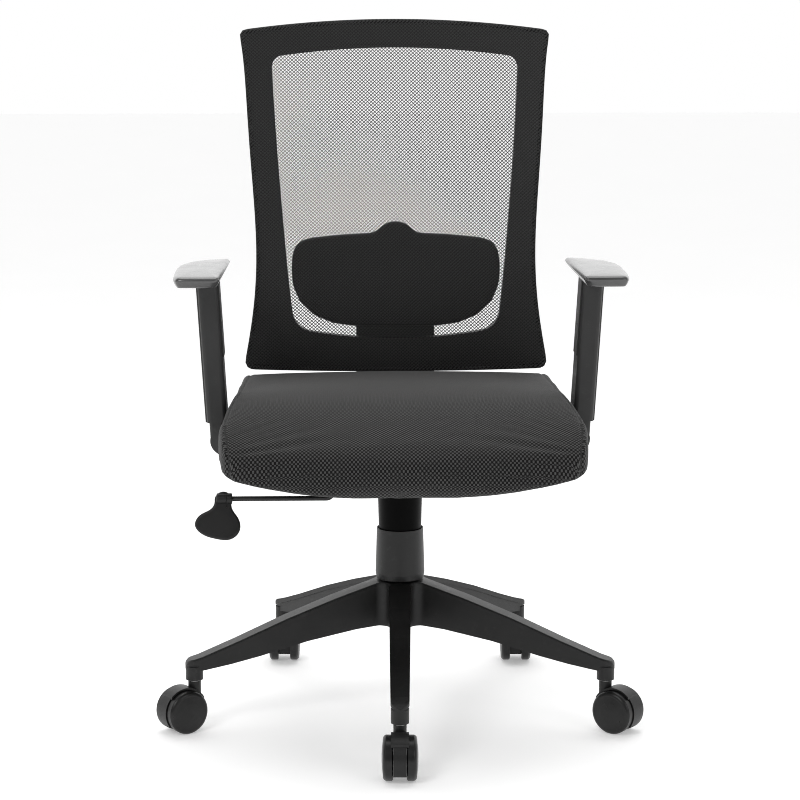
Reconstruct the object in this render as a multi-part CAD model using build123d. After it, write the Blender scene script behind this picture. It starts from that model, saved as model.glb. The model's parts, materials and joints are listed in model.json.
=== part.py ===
from build123d import *
import os
from math import atan2, cos, degrees, hypot, radians, sin

# Swivel office chair. Millimetres, +Z up, the sitter faces -Y.
# The origin is on the floor, on the axis of the gas lift column.

# Driving dimensions -------------------------------------------------------------------------
leg_count = 5
base_turn = -1.7          # the base stands turned a little under the seat
stem_circle_r = 300.0     # caster stems on the star base
stem_r = 5.5
running_gap = 0.05        # radial gap of a pin that turns in a bore

wheel_r = 30.0
wheel_width = 15.0
caster_width = 48.0       # over both wheels
caster_trail = 21.0
axle_r = 4.0
socket_bottom_z = 71.0
stem_top_z = 91.0
caster_headings = [-90.0, -36.0, 90.0, 90.0, -144.0]   # where each caster trails at rest

hub_r = 37.5
hub_top_z = 194.0
tube_r = 25.0             # outer tube of the gas lift
tube_bottom_z = 132.0
tube_top_z = 295.0
cylinder_r = 14.0
cylinder_bottom_z = 160.0
cylinder_top_z = 348.0
rod_r = 5.0
piston_z = 246.0

pivot_y = -80.0           # tilt pivot of the seat
pivot_z = 362.0
housing_half_x = 48.0
plate_z = 384.0           # underside of the tilt plate
plate_t = 4.0
board_t = 12.0
board_z = plate_z + plate_t

seat_front_y = -268.0
seat_rear_y = 207.0
seat_half_front = 247.0
seat_half_rear = 223.0
seat_top_z = 460.0
seat_nose_z = 359.0
soft_gap = 0.4            # soft parts stand this clear of their neighbours

arm_lean = 3.4            # degrees, outwards
arm_root_x = 254.5        # centre line of the arm post at arm_root_z
arm_root_z = 400.0
post_thick = 20.0
post_depth = 48.0
sleeve_thick = 30.4
sleeve_depth = 60.0
sleeve_low = 22.0         # ends of the sleeve above arm_root_z, along the lean
sleeve_high = 222.0
pad_top_z = 634.0
pad_t = 15.0
pad_inner_x = 239.0
pad_outer_x = 311.0
pad_front_y = -108.0
pad_rear_y = 122.0

back_plan_r = 1010.0      # the back is hollow towards the sitter in plan
back_line = [(212.0, 440.0), (207.0, 590.0), (234.0, 780.0), (292.0, 985.0)]   # y, z up its middle
mesh_t = 1.6
frame_t = 15.0
crown_z = 968.0
corner_z = 953.0
back_bottom_z = 454.0
upright_half_x = 58.0
upright_t = 16.0
slope_z = 512.0           # above this the upright leans back
lumbar_slope = 0.08       # rise of the lumbar slide: back per up
lumbar_gap = 3.0          # behind the mesh, for its travel
lumbar_t = 12.0

os.makedirs("parts", exist_ok=True)


def save(node, shape):
    """Writes one node. Several separate solids of one kind are one compound."""
    shape.label = node
    export_step(shape, f"parts/{node}.step")


def group(shapes):
    return Compound(children=list(shapes))


def disc(radius, low, high, x=0.0, y=0.0):
    """Upright round bar from height low to height high."""
    return Pos(x, y, low) * Cylinder(radius, high - low, align=(Align.CENTER, Align.CENTER, Align.MIN))


def pipe(outer, inner, low, high, x=0.0, y=0.0):
    return disc(outer, low, high, x, y) - disc(inner, low - 1, high + 1, x, y)


def bar_x(radius, x_low, x_high, y, z):
    """Round bar along X."""
    return Pos((x_low + x_high) / 2, y, z) * Rot(0, 90, 0) * Cylinder(radius, x_high - x_low)


def box(x_low, x_high, y_low, y_high, z_low, z_high):
    centre = Pos((x_low + x_high) / 2, (y_low + y_high) / 2, (z_low + z_high) / 2)
    return centre * Box(x_high - x_low, y_high - y_low, z_high - z_low)


def side_plate(points, x_low, x_high):
    """Outline in the YZ plane, extruded along X."""
    face = Plane.YZ.offset(x_low) * Polygon(*points, align=None)
    return extrude(face, x_high - x_low)


def hex_bolt(x, y, head_z, tip_z, shank_r, up=True):
    """Hexagon bolt whose head lies under (up) or over what it clamps, from head_z to tip_z."""
    head_h = shank_r * 1.3
    low = head_z - head_h if up else head_z
    head = Pos(x, y, low) * extrude(RegularPolygon(shank_r * 1.75, 6), head_h)
    return head + disc(shank_r, min(head_z, tip_z), max(head_z, tip_z), x, y)


# Star base ----------------------------------------------------------------------------------
leg_root_half = 16.0
leg_tip_half = 12.5
leg_notch_r = 14.0        # rounding of the plan between two legs
plate_skin = 7.0          # depth of the leg's top plate
plate_rim = 2.2           # the plate stands this far proud of the walls below
rim_steps = [(0.0, 2.0), (0.6, 1.0), (1.4, 0.4), (2.4, 0.0)]   # rounding of its rims: inset, drop
leg_top = [(0.0, 194.5), (37.0, 191.5), (100.0, 172.5), (168.0, 149.5), (240.0, 122.0), (292.0, 103.5),
           (306.0, 100.0), (311.5, 97.0), (313.0, 92.0)]
leg_under = [(313.0, 81.5), (286.0, 85.0), (250.0, 90.5), (209.0, 98.5), (140.0, 114.5), (70.0, 126.0),
             (38.0, 129.0), (0.0, 129.0)]


def leg_plan(inset):
    """Plan of all the legs, with rounded notches between them; they meet and form the hub."""
    root, tip = leg_root_half - inset, leg_tip_half - inset
    star = Sketch()
    for k in range(leg_count):
        leg = Polygon((0, -root), (stem_circle_r, -tip), (stem_circle_r, tip), (0, root), align=None)
        leg += Pos(stem_circle_r, 0) * Circle(tip)
        star += Rot(0, 0, -90.0 + base_turn + 72.0 * k) * leg
    notches = [v for v in star.vertices() if hypot(v.X, v.Y) < 2.2 * leg_root_half]
    return fillet(notches, leg_notch_r + inset)


def turned_band(points):
    return revolve(Plane.XZ * Polygon(*points, align=None), Axis.Z)


def lowered(line, drop):
    return [(r, z - drop) for r, z in line]


def star_base():
    """Moulded star: a top plate with rounded rims, walls set back under it, hollow and ribbed below."""
    lower_line = lowered(leg_top, plate_skin)
    skin = Part()
    for inset, drop in rim_steps:
        skin += extrude(leg_plan(inset), 300) & turned_band(lowered(leg_top, drop) + lower_line[::-1])
    walls = extrude(leg_plan(plate_rim), 300) & turned_band(lower_line + leg_under)
    hollow = extrude(leg_plan(plate_rim + 3.2), 300)
    hollow &= pipe(stem_circle_r - 15.0, hub_r + 1.0, 0, 400)
    hollow &= turned_band(lowered(lower_line, -1.0) + lowered(leg_under, 30.0))
    half_rib = 1.3
    ribs = Part()
    for out in (84.0, 124.0, 164.0, 204.0, 244.0):
        ribs += pipe(out + half_rib, out - half_rib, 0, 300)
    for k in range(leg_count):
        long_rib = box(hub_r, stem_circle_r, -half_rib, half_rib, 0, 300)
        ribs += Rot(0, 0, -90.0 + base_turn + 72.0 * k) * long_rib
    walls -= hollow - ribs
    base = skin + walls
    for k in range(leg_count):
        angle = radians(-90.0 + base_turn + 72.0 * k)
        x, y = stem_circle_r * cos(angle), stem_circle_r * sin(angle)
        base += disc(leg_tip_half - 0.4, socket_bottom_z, 90.0, x, y)
        base -= disc(stem_r, socket_bottom_z - 1, stem_top_z, x, y)
    return base - disc(tube_r, 0, 300)


# Casters ------------------------------------------------------------------------------------
def caster_place(k):
    """Moves a caster, made about its stem with its trail along +X, under leg k."""
    angle = radians(-90.0 + base_turn + 72.0 * k)
    x, y = stem_circle_r * cos(angle), stem_circle_r * sin(angle)
    return Pos(x, y, 0) * Rot(0, 0, caster_headings[k] + base_turn)


def caster_stem(k):
    shank = disc(stem_r, 44.0, stem_top_z)
    collar = disc(8.5, socket_bottom_z - 1.6, socket_bottom_z - 0.1)
    return caster_place(k) * (shank + collar)


def caster_housing():
    """Hood between the wheels with a neck that turns about the stem."""
    inner = caster_width / 2 - wheel_width - 0.2
    hood = Pos(caster_trail, 0, wheel_r) * Rot(90, 0, 0) * Cylinder(wheel_r + 1.6, 2 * inner)
    hood -= box(-60, 90, -30, 30, -10, 11.5)
    hood -= box(-60, 6, -30, 30, -10, 34.0)
    crown = Pos(caster_trail, 0, wheel_r) * Rot(90, 0, 0) * Cylinder(wheel_r + 3.4, 2 * inner + 6)
    crown -= Pos(caster_trail, 0, wheel_r) * Rot(90, 0, 0) * Cylinder(wheel_r + 0.8, 2 * inner + 8)
    crown &= box(-8, 44, -30, 30, 40, 90)
    neck = disc(inner, 42.0, socket_bottom_z - 2.0)
    body = hood + crown + neck
    body -= disc(stem_r + running_gap, 43.5, 80.0)
    body -= Pos(caster_trail, 0, wheel_r) * Rot(90, 0, 0) * Cylinder(axle_r, 60)
    return body


def caster_axle():
    return Pos(caster_trail, 0, wheel_r) * Rot(90, 0, 0) * Cylinder(axle_r, caster_width - 6.0)


def caster_wheel(side):
    """Domed wheel with a raised tread band, on the +Y (side 1) or -Y (side -1) end of the axle."""
    inner = caster_width / 2 - wheel_width
    outer = caster_width / 2
    bore = axle_r + running_gap
    profile = make_face(
        Polyline((bore, outer - 3.0), (bore, inner), (wheel_r - 1.5, inner), (wheel_r, inner + 1.5),
                 (wheel_r, outer - 5.5))
        + ThreePointArc((wheel_r, outer - 5.5), (wheel_r - 2.2, outer - 2.6), (wheel_r - 6.5, outer - 1.6))
        + Polyline((wheel_r - 6.5, outer - 1.6), (14.0, outer - 0.5), (6.0, outer), (0, outer),
                   (0, outer - 3.0), (bore, outer - 3.0))
    )
    wheel = revolve(profile, Axis.Y)
    if side < 0:
        wheel = wheel.mirror(Plane.XZ)
    return Pos(caster_trail, 0, wheel_r) * wheel


# Gas lift and its covers --------------------------------------------------------------------
def ring_profile(points):
    """Turned part: points of (radius, z), turned about Z."""
    return revolve(Plane.XZ * Polygon(*points, align=None), Axis.Z)


def gas_lift_outer_tube():
    floor = pipe(tube_r - 2.0, rod_r + 1.5, tube_bottom_z, tube_bottom_z + 3.0)
    return pipe(tube_r, tube_r - 2.0, tube_bottom_z, tube_top_z) + floor


def gas_lift_guide_bush():
    sleeve = pipe(tube_r - 2.0, cylinder_r + running_gap, tube_top_z - 55.0, tube_top_z)
    return sleeve + pipe(tube_r, cylinder_r + running_gap, tube_top_z, tube_top_z + 3.0)


def gas_lift_bearing():
    return pipe(13.0, rod_r + 1.0, tube_bottom_z + 3.0, tube_bottom_z + 9.0)


def gas_lift_piston_rod():
    shaft = disc(rod_r, tube_bottom_z - 3.0, piston_z)
    shaft += disc(cylinder_r - 2.0 - running_gap, piston_z, piston_z + 10.0)
    shoulder = disc(11.0, tube_bottom_z + 9.3, tube_bottom_z + 12.3)
    return shaft + shoulder


def gas_lift_clip():
    clip = pipe(9.0, rod_r, tube_bottom_z - 2.3, tube_bottom_z - 0.3)
    return clip - box(-2.2, 2.2, 0, 20, tube_bottom_z - 5, tube_bottom_z + 5)


def gas_lift_cylinder():
    wall = pipe(cylinder_r, cylinder_r - 2.0, cylinder_bottom_z, cylinder_top_z)
    foot = pipe(cylinder_r - 2.0, rod_r + running_gap, cylinder_bottom_z, cylinder_bottom_z + 10.0)
    head = pipe(cylinder_r - 2.0, 3.0 + running_gap, cylinder_top_z - 12.0, cylinder_top_z)
    return wall + foot + head


def gas_lift_release_pin():
    return disc(3.0, cylinder_top_z - 26.0, cylinder_top_z + 5.0)


def column_cover_lower():
    top = 266.0
    points = [(31.3, hub_top_z + 5.0), (31.3, top), (32.7, top), (34.6, hub_top_z + 8.0),
              (33.0, hub_top_z + 0.2), (26.0, hub_top_z + 0.2), (26.0, hub_top_z + 5.0)]
    return ring_profile(points)


def column_cover_middle():
    points = [(26.6, 212.0), (30.9, 212.0), (30.9, 214.6), (28.0, 215.2), (28.0, 276.0), (26.6, 276.0)]
    return ring_profile(points)


def column_cover_upper():
    points = [(28.5, 232.0), (30.0, 232.0), (30.0, 268.0), (31.2, 318.0), (28.0, 318.0), (28.0, 314.0),
              (28.5, 314.0)]
    return ring_profile(points)


# Tilt mechanism -----------------------------------------------------------------------------
knob_y = -56.0
wall_t = 2.5
lever_pivot_x = -25.0
lever_axis_z = 352.0
lever_pin_r = 2.0


def mechanism_housing():
    """Pressed steel tray with the hub for the gas lift, raised at the front over the tension knob."""
    hx = housing_half_x
    outline = [(-100, 347), (-32, 347), (-32, 322), (62, 322), (62, 338), (10, 357), (-50, 372),
               (-90, 374), (-100, 366)]
    inside = [(-97.5, 349.5), (-29.5, 349.5), (-29.5, 324.5), (59.5, 324.5), (59.5, 400), (-97.5, 400)]
    tray = side_plate(outline, -hx, hx) - side_plate(inside, -hx + wall_t, hx - wall_t)
    tray += disc(19.0, 318.2, cylinder_top_z - 4.0)
    tray -= disc(cylinder_r, 300, 400)
    tray -= bar_x(6.0, -80, 80, pivot_y, pivot_z)
    tray -= disc(4.2, 330, 360, 0, knob_y)
    tray -= box(-60, -40, -9, 9, lever_axis_z - 9.0, 400)
    tray -= box(lever_pivot_x - 22, lever_pivot_x + 10, -12, 12, cylinder_top_z - 8.0, 360)
    return tray


def tilt_pivot_shaft():
    return bar_x(6.0, -58.0, 58.0, pivot_y, pivot_z)


def tilt_spring():
    """Two close-wound torsion coils round the pivot shaft, each with two legs towards the rear."""
    coil_r, wire_r, turns, leg_length = 9.4, 2.1, 6, 32.0
    pitch = 2 * wire_r - 0.15
    wire = Part()
    for k in range(turns):
        wire += Pos(k * pitch, 0, 0) * Rot(0, 90, 0) * Torus(coil_r, wire_r)
    leg = Rot(-90, 0, 0) * Cylinder(wire_r - 0.1, leg_length, align=(Align.CENTER, Align.CENTER, Align.MIN))
    wire += Pos(0, 0, -coil_r) * leg
    wire += Pos((turns - 1) * pitch, 0, coil_r) * leg
    return group(Pos(x, pivot_y, pivot_z) * wire for x in (-36.0, 15.0))


def tension_knob():
    """Fluted knob under the front of the housing, with its bolt up to the spring."""
    knob = disc(23.5, 325.0, 345.5, 0, knob_y)
    knob = fillet(knob.edges().group_by(Axis.Z)[0], 4.0)
    for k in range(10):
        angle = radians(36.0 * k)
        knob -= disc(3.6, 320, 350, 25.0 * cos(angle), knob_y + 25.0 * sin(angle))
    return knob + disc(4.0, 345.0, 371.0, 0, knob_y)


def lever_slider():
    """Nylon block that carries the lever; it slides sideways to lock the tilt."""
    low, high = lever_pivot_x - 7.0, lever_pivot_x + 7.0
    block = box(low, high, -10.0, 10.0, lever_axis_z - 8.0, lever_axis_z + 6.0)
    block -= box(low - 1, high + 1, -4.2, 4.2, lever_axis_z - 4.6, lever_axis_z + 20)
    bore = Rot(90, 0, 0) * Cylinder(lever_pin_r + running_gap, 30)
    return block - Pos(lever_pivot_x, 0, lever_axis_z) * bore


def height_lever_rod():
    """Bent wire lever: a flat finger over the release pin, a crank down, and a long straight reach."""
    wire_r = 3.5
    path = FilletPolyline((lever_pivot_x + 3.0, 0, lever_axis_z), (-78, 0, lever_axis_z),
                          (-97, 0, 308), (-250, 0, 308), radius=11.0)
    wire = sweep(Plane(origin=path @ 0, z_dir=path % 0) * Circle(wire_r), path=path)
    finger = box(lever_pivot_x - 14.0, 13.0, -3.6, 3.6, cylinder_top_z + 6.9, cylinder_top_z + 9.6)
    web = box(lever_pivot_x - 14.0, lever_pivot_x - 4.0, -3.2, 3.2, lever_axis_z, cylinder_top_z + 9.0)
    pin = Pos(lever_pivot_x, 0, lever_axis_z) * Rot(90, 0, 0) * Cylinder(lever_pin_r, 19)
    return wire + finger + web + pin


def height_lever_paddle():
    """Shovel-shaped grip that hangs from the end of the rod, with a split round neck."""
    outline = make_face(
        Spline([(-13, 2), (-18, -12), (-33, -22), (-38, -36), (-30, -46), (-8, -53), (14, -52),
                (25, -40), (22, -22), (13, -10), (12, 2)])
        + ThreePointArc((12, 2), (-0.5, 14), (-13, 2))
    )
    blade = extrude(Plane.XZ * outline, 5.0, both=True)
    blade = fillet(blade.edges().filter_by(lambda e: e.length > 20), 3.0)
    blade = Pos(-248, 0, 304) * Rot(0, 4, 0) * Rot(-14, 0, 0) * blade
    socket = bar_x(8.0, -258.0, -236.0, 0, 308.0)
    grip = blade + fillet(socket.edges(), 2.0)
    grip -= box(-244.6, -243.2, -30, -4, 297, 330)
    return grip - bar_x(3.5, -250.0, -200.0, 0, 308.0)


def tilt_plate():
    """Pressed top plate with two ears round the pivot shaft."""
    plate = box(-78, 78, -112, 112, plate_z, plate_z + plate_t)
    plate = fillet(plate.edges().filter_by(Axis.Z), 14.0)
    plate -= box(-62, 24, -18, 18, plate_z - 5, plate_z + 10)
    ear = [(-98, 384.5), (-94, 358), (-86, 349), (-72, 350), (-62, 362), (-52, 384.5)]
    for low in (-55.0, 51.5):
        plate += side_plate(ear, low, low + 3.5)
    plate -= bar_x(6.0 + running_gap, -90, 90, pivot_y, pivot_z)
    for x, y in plate_bolts:
        plate -= disc(3.4, plate_z - 2, plate_z + 8, x, y)
    return plate


# Seat ---------------------------------------------------------------------------------------
plate_bolts = [(sx * 66.0, sy * 92.0) for sx in (-1, 1) for sy in (-1, 1)]
arm_bolt_spots = [(sx * x, y) for sx in (-1, 1) for x, y in ((182.0, -22.0), (182.0, 22.0), (146.0, 0.0))]
upright_bolt_spots = [(x, y) for x in (-38.0, 38.0) for y in (136.0, 172.0)]


def seat_plan(inset, front, rear):
    """Plan of the seat: a little wider at the front, bowed forward, rounded at its corners."""
    a = seat_half_front - inset
    b = seat_half_rear - inset
    edge = Polyline((-b, rear), (b, rear), (a, -150.0), (a - 8.0, front + 26.0))
    nose = ThreePointArc((a - 8.0, front + 26.0), (0, front), (8.0 - a, front + 26.0))
    edge += nose + Polyline((8.0 - a, front + 26.0), (-a, -150.0), (-b, rear))
    face = make_face(edge)
    corners = face.vertices()
    return fillet([v for v in corners if abs(v.Y + 150.0) > 5.0], 42.0 - min(inset, 12.0))


def seat_board():
    board = extrude(seat_plan(24.0, seat_front_y + 46.0, seat_rear_y - 20.0), board_t)
    board = Pos(0, 0, board_z) * board
    for x, y in plate_bolts + arm_bolt_spots + upright_bolt_spots:
        board -= disc(3.0, 380, 398.5, x, y)
    return board


def seat_cushion():
    """Foam block with a rounded waterfall front that wraps the board's edges."""
    top = seat_top_z
    block = extrude(seat_plan(0.0, seat_front_y, seat_rear_y), top + 10 - 340)
    block = Pos(0, 0, 340) * block
    side = make_face(
        ThreePointArc((-260, 396), (-262, 371), (-243, seat_nose_z))
        + Spline([(-243, seat_nose_z), (-205, 367), (-160, 384), (-120, board_z + soft_gap)])
        + Polyline((-120, board_z + soft_gap), (seat_rear_y, board_z + soft_gap), (seat_rear_y, 428))
        + ThreePointArc((seat_rear_y, 428), (seat_rear_y - 8, 449), (seat_rear_y - 28, 458))
        + Spline([(seat_rear_y - 28, 458), (90, top - 1), (0, top), (-80, top - 3), (-140, top - 10),
                  (-190, top - 21), (-232, top - 40), (-260, 396)])
    )
    block &= extrude(Plane.YZ * side, 400, both=True)
    wide = seat_half_front + 1.0
    front = make_face(
        ThreePointArc((-wide, 391), (0, 357), (wide, 391))
        + Line((wide, 391), (wide, 425))
        + ThreePointArc((wide, 425), (wide - 12, 450), (wide - 45, top + 1))
        + ThreePointArc((wide - 45, top + 1), (0, top + 3), (45 - wide, top + 1))
        + ThreePointArc((45 - wide, top + 1), (12 - wide, 450), (-wide, 425))
        + Line((-wide, 425), (-wide, 391))
    )
    block &= extrude(Plane.XZ * front, 400, both=True)
    hollow = extrude(seat_plan(24.0 - soft_gap, seat_front_y + 45.6, seat_rear_y - 19.6), 60)
    block -= Pos(0, 0, board_z + board_t + soft_gap - 60) * hollow
    return block


def seat_under_cover():
    """Black lining tacked under the board, open where the plate and the brackets bolt on."""
    sheet = extrude(seat_plan(34.0, seat_front_y + 58.0, seat_rear_y - 30.0), 1.2)
    sheet = Pos(0, 0, board_z - 1.2) * sheet
    sheet -= box(-80, 80, -114, 114, 380, 392)
    sheet -= box(-300, -118, -37, 37, 380, 392)
    sheet -= box(118, 300, -37, 37, 380, 392)
    sheet -= box(-62, 62, 112, 300, 380, 392)
    return sheet


def bolts_up(spots, head_z):
    return group(hex_bolt(x, y, head_z, board_z + 10.0, 3.0) for x, y in spots)


# Arms (made for the +X side, mirrored for the other) ----------------------------------------
def lean(shape):
    """Stands a shape made about the arm's own upright on the arm root, leaning outwards."""
    return Pos(arm_root_x, 0, arm_root_z) * Rot(0, arm_lean, 0) * shape


def arm_bracket():
    """L-shaped bracket: a foot bolted under the board, and the post that the sleeve rides on."""
    half = post_thick / 2
    post = lean(box(-half, half, -post_depth / 2, post_depth / 2, 0, 186))
    post = fillet(post.edges().filter_by(lambda e: e.length > 150), 4.0)
    foot_z = 375.0
    bend = make_face(
        Polyline((246, arm_root_z + 1.0), (244.5, 396), (238, board_z - 0.2), (120, board_z - 0.2),
                 (120, foot_z + 5), (126, foot_z), (248, foot_z))
        + ThreePointArc((248, foot_z), (258.5, 380.5), (264.3, arm_root_z))
        + Line((264.3, arm_root_z), (246, arm_root_z + 1.0))
    )
    foot = extrude(Plane.XZ * bend, post_depth / 2, both=True)
    flange = box(120, 205, -36, 36, foot_z + 5, board_z - 0.2)
    flange = fillet(flange.edges().filter_by(Axis.Z), 10.0)
    bracket = post + foot + flange
    for x, y in arm_bolt_spots:
        bracket -= disc(3.3, 360, 400, x, y)
        bracket -= disc(7.0, 360, foot_z + 5, x, y)
    return bracket


def arm_sleeve():
    """Sliding shell over the post, with a raised outer strip and a neck up to the pad."""
    half = sleeve_thick / 2
    shell = box(-half, half - 2.4, -sleeve_depth / 2, sleeve_depth / 2, sleeve_low, sleeve_high)
    shell = fillet(shell.edges().filter_by(Axis.Z), 6.0)
    strip = box(half - 6.0, half, -sleeve_depth / 2 + 9, sleeve_depth / 2 - 9, sleeve_low, sleeve_high)
    plate = box(-half - 1.6, -half + 3.0, -21, 21, 112, sleeve_high)
    shell += fillet(strip.edges().filter_by(Axis.Z), 2.0) + plate
    clear = 0.3
    cavity = box(-post_thick / 2 - clear, post_thick / 2 + clear, -post_depth / 2 - clear,
                 post_depth / 2 + clear, 0, 200)
    cavity = fillet(cavity.edges().filter_by(Axis.Z), 4.0)
    shell -= cavity
    shell -= box(half - 5.1, half + 1, -11.1, 11.1, 176.9, 197.1)
    return lean(shell) & box(0, 400, -100, 100, 0, pad_top_z - pad_t)


def arm_button():
    """Push button in the outer strip that frees the sleeve; it travels inwards."""
    half = sleeve_thick / 2
    button = box(half - 1.6, half, -11, 11, 177, 197)
    button = fillet(button.edges().filter_by(Axis.X), 3.0)
    return lean(button)


def arm_pad():
    """Pad with a straight inner edge and an outer edge that sweeps in towards the rear."""
    plan = make_face(
        Polyline((pad_inner_x + 8, pad_front_y), (pad_outer_x - 6, pad_front_y))
        + ThreePointArc((pad_outer_x - 6, pad_front_y), (pad_outer_x, -45), (pad_outer_x, 15))
        + ThreePointArc((pad_outer_x, 15), (295, 86), (248, pad_rear_y))
        + Polyline((248, pad_rear_y), (pad_inner_x, pad_rear_y - 8), (pad_inner_x + 8, pad_front_y))
    )
    pad = Pos(0, 0, pad_top_z - pad_t) * extrude(plan, pad_t)
    return fillet(pad.edges().group_by(Axis.Z)[-1], 4.0)


# Back ---------------------------------------------------------------------------------------
def back_band(front, thick):
    """Shell that follows the line up the back, set back by front, turned about an upright axis."""
    def offset_line(distance):
        rows = []
        for i, (y, z) in enumerate(back_line):
            y0, z0 = back_line[max(i - 1, 0)]
            y1, z1 = back_line[min(i + 1, len(back_line) - 1)]
            run = hypot(y1 - y0, z1 - z0)
            rows.append((y + distance * (z1 - z0) / run, z - distance * (y1 - y0) / run))
        return rows
    near = offset_line(front)
    far = offset_line(front + thick)
    edge = Spline(near) + Line(near[-1], far[-1]) + Spline(far[::-1]) + Line(far[0], near[0])
    axis_y = back_line[1][0] - back_plan_r
    section = Plane.YZ * make_face(edge)
    turn = revolve(section, Axis((0, axis_y, 0), (0, 0, 1)), 40.0)
    return turn.rotate(Axis((0, axis_y, 0), (0, 0, 1)), -20.0)


def outline_face(side, top_mid, bottom_mid, corner_top, corner_bottom):
    """Front outline, the same left and right, from one side line and the middle of top and bottom."""
    low, high = side[0], side[-1]
    mirrored = [(-x, z) for x, z in side]
    edge = Spline(side) + ThreePointArc(high, (0, top_mid), (-high[0], high[1]))
    edge += Spline(mirrored[::-1]) + ThreePointArc((-low[0], low[1]), (0, bottom_mid), low)
    face = make_face(edge)
    tops = [v for v in face.vertices() if v.Y > (low[1] + high[1]) / 2]
    face = fillet(tops, corner_top)
    bottoms = [v for v in face.vertices() if v.Y < low[1] + 1.0 and abs(v.X) > 0.9 * low[0]]
    return fillet(bottoms, corner_bottom)


back_side = [(219.5, 470.0), (212.0, 525.0), (203.0, 604.0), (206.0, 690.0), (213.5, 810.0), (225.5, corner_z)]
window_side = [(149.0, 521.0), (157.0, 590.0), (165.0, 680.0), (173.0, 780.0), (181.0, 914.0)]


def back_outline(grow=0.0):
    side = [(x + grow, z) for x, z in back_side]
    side[0] = (side[0][0], side[0][1] - grow)
    side[-1] = (side[-1][0], side[-1][1] + grow)
    face = outline_face(side, crown_z + grow, back_bottom_z - grow, 9.0 + grow, 6.0 + grow)
    return extrude(Plane.XZ * face, -600)


def window_prism():
    face = outline_face(window_side, 927.0, 504.0, 17.0, 34.0)
    return extrude(Plane.XZ * face, -600)


def back_frame():
    frame = back_band(mesh_t + 0.2, frame_t) & back_outline(-1.0)
    frame -= window_prism()
    for x, y, z in back_bolt_spots:
        frame -= Pos(x, y, z) * Rot(90, 0, 0) * Cylinder(3.0, 26)
    return frame


def back_mesh():
    """Plain panel in the place of the stretched mesh."""
    return back_band(0.0, mesh_t) & back_outline()


upright_front_y = 232.0
back_bolt_spots = [(x, upright_front_y - 2.0, z) for x in (-40.0, 40.0) for z in (470.0, 500.0)]


def back_upright():
    """J-shaped bar: a foot bolted under the board, a bend behind the seat, and the blade."""
    t = upright_t
    y, z = upright_front_y, plate_z + plate_t
    top = 652.0
    path = FilletPolyline((118, z - t / 2), (y + t / 2, z - t / 2), (y + t / 2, slope_z),
                          (y + t / 2 + lumbar_slope * (top - slope_z), top), radius=34.0)
    path = Plane.YZ * path
    section = Plane(origin=path @ 0, z_dir=path % 0) * RectangleRounded(t, 2 * upright_half_x, 3.0)
    bar = sweep(section, path=path)
    size = bar.bounding_box().size
    if size.X < 100:
        section = Plane(origin=path @ 0, z_dir=path % 0) * RectangleRounded(2 * upright_half_x, t, 3.0)
        bar = sweep(section, path=path)
    for x, yy in upright_bolt_spots:
        bar -= disc(3.3, 360, 400, x, yy)
    for x, yy, zz in back_bolt_spots:
        bar -= Pos(x, yy + 12, zz) * Rot(90, 0, 0) * Cylinder(3.3, 40)
    return bar


def back_bolts():
    bolts = []
    for x, y, z in back_bolt_spots:
        bolt = hex_bolt(0, 0, 0, 26.0, 3.0)
        bolts.append(Pos(x, upright_front_y + upright_t, z) * Rot(90, 0, 0) * bolt)
    return group(bolts)


def lumbar_pad():
    """Crowned pad behind the mesh, with a small tab at the middle of its top edge."""
    half = make_face(
        Polyline((0, 521), (60, 522))
        + ThreePointArc((60, 522), (128, 545), (153, 600))
        + Line((153, 600), (152, 628))
        + ThreePointArc((152, 628), (144, 646), (124, 653))
        + ThreePointArc((124, 653), (80, 657), (31, 659))
        + ThreePointArc((31, 659), (20, 672), (0, 676))
        + Line((0, 676), (0, 521))
    )
    face = half + mirror(half, Plane.YZ)
    pad = extrude(Plane.XZ * face, -600)
    return pad & back_band(mesh_t + lumbar_gap, lumbar_t)


def lumbar_slider():
    """Carrier on the upright's blade that the pad is clipped to."""
    middle_z, thick = 595.0, 20.0
    front_of_blade = upright_front_y + lumbar_slope * (middle_z - slope_z)
    block = fillet(Box(60, thick, 70).edges().filter_by(Axis.Y), 8.0)
    block = Rot(-degrees(atan2(lumbar_slope, 1.0)), 0, 0) * block
    block = Pos(0, front_of_blade - soft_gap - thick / 2, middle_z) * block
    return block - back_band(0.0, mesh_t + lumbar_gap + lumbar_t)


def build():
    save("base_star", star_base())
    save("caster_stems", group(caster_stem(k) for k in range(leg_count)))
    for k in range(leg_count):
        place = caster_place(k)
        save(f"caster_{k + 1}_housing", place * caster_housing())
        save(f"caster_{k + 1}_axle", place * caster_axle())
        save(f"caster_{k + 1}_wheel_left", place * caster_wheel(1))
        save(f"caster_{k + 1}_wheel_right", place * caster_wheel(-1))
    for make in (gas_lift_outer_tube, gas_lift_guide_bush, gas_lift_bearing, gas_lift_piston_rod,
                 gas_lift_clip, gas_lift_cylinder, gas_lift_release_pin, column_cover_lower,
                 column_cover_middle, column_cover_upper, mechanism_housing, tilt_pivot_shaft,
                 tilt_spring, tension_knob, lever_slider, height_lever_rod, height_lever_paddle,
                 tilt_plate, seat_board, seat_cushion, seat_under_cover, back_frame, back_mesh,
                 back_upright, back_bolts, lumbar_pad, lumbar_slider):
        save(make.__name__, make())
    save("seat_bolts", group([bolts_up(plate_bolts, plate_z), bolts_up(upright_bolt_spots, board_z - upright_t)]))
    save("arm_bolts", bolts_up(arm_bolt_spots, 380.0))
    for make in (arm_bracket, arm_sleeve, arm_button, arm_pad):
        left = make()
        save(f"{make.__name__}_left", left)
        save(f"{make.__name__}_right", left.mirror(Plane.YZ))


build()
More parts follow.
